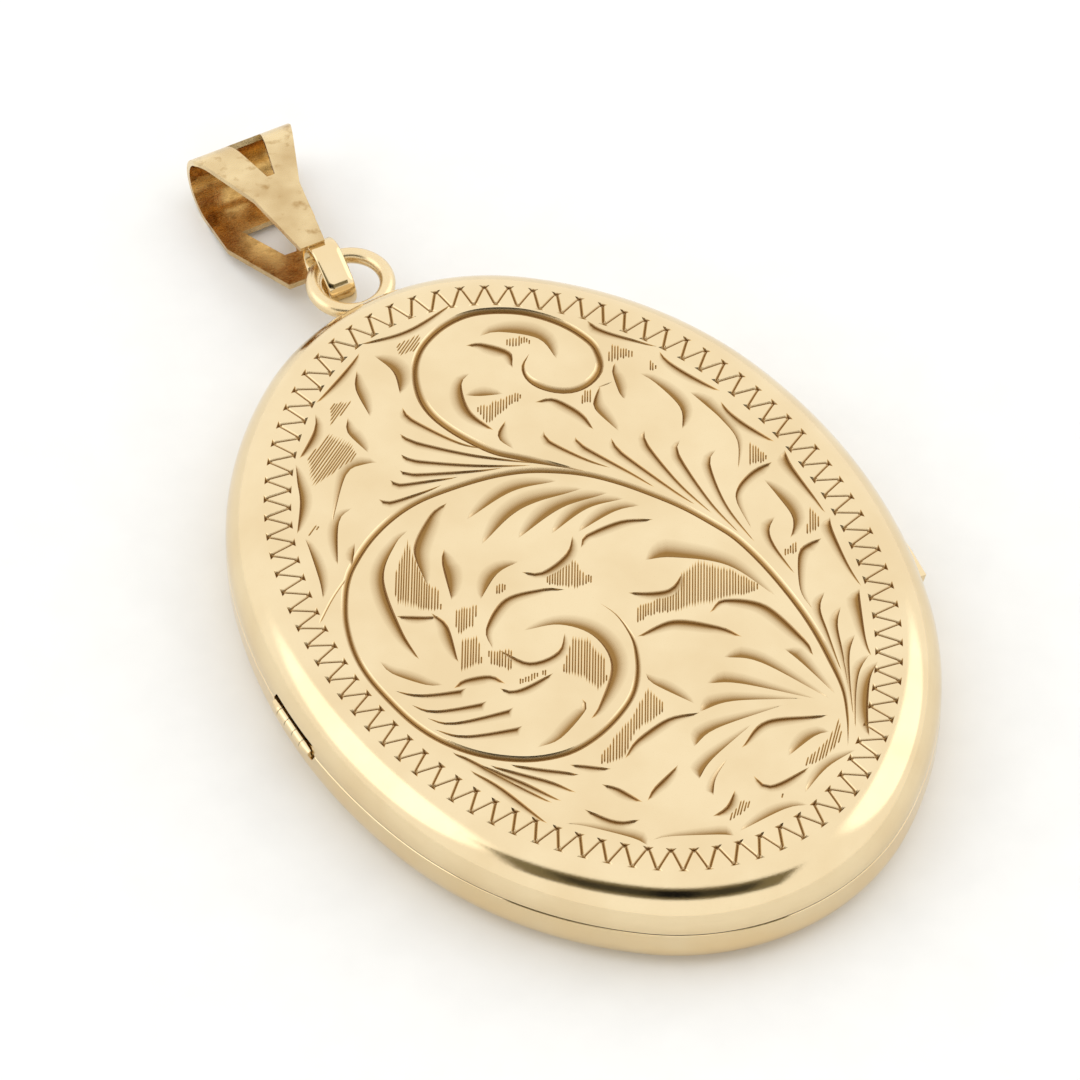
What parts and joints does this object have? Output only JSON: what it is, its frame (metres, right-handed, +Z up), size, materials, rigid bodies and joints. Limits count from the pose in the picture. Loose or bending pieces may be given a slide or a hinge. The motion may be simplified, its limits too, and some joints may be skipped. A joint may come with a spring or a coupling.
{
  "type": "locket",
  "caption": "Oval hinged locket in pale gold with a scroll-engraved cover, thumb piece, inner photo frames with clear windows, jump ring and folded ribbon bail.",
  "frame": {"origin": "centre of the flat underside of the closed case", "axes": "+Y along the case towards the bail, +Z up out of the engraved cover, +X towards the thumb piece, so the hinge is on -X"},
  "size_m": [0.0301, 0.0526, 0.0047],
  "materials": {
    "polished_gold": "mirror-polished pale yellow gold, engraved on the cover",
    "inner_gold": "satin yellow gold",
    "solder": "dull gold solder",
    "window": "clear, slightly aged sheet",
    "card": "plain off-white card"
  },
  "bodies": {
    "case_back": {"back_shell": "polished_gold", "back_bezel": "inner_gold", "hinge_knuckle_1": "polished_gold", "hinge_knuckle_3": "polished_gold", "hinge_knuckle_5": "polished_gold", "hinge_pin": "polished_gold", "thumb_piece": "polished_gold", "back_photo_frame": "inner_gold", "back_window": "window", "back_picture_card": "card", "jump_ring": "polished_gold", "ring_seat": "solder"},
    "cover": {"front_shell": "polished_gold", "front_seat_rim": "inner_gold", "hinge_knuckle_2": "polished_gold", "hinge_knuckle_4": "polished_gold", "front_photo_frame": "inner_gold", "front_window": "window", "front_picture_card": "card"},
    "bail": {"bail_loop": "polished_gold", "bail_body": "polished_gold"}
  },
  "joints": [
    {"name": "cover_hinge", "type": "hinge", "parent": "case_back", "child": "cover", "pos_m": [-0.01476, 0, 0.0024], "axis": [0, -1, 0], "range_deg": [0, 170]},
    {"name": "bail_swing", "type": "hinge", "parent": "case_back", "child": "bail", "pos_m": [-0.00045, 0.02372, 0.0024], "axis": [0.9994, -0.0349, 0], "range_deg": [-90, 80]}
  ]
}
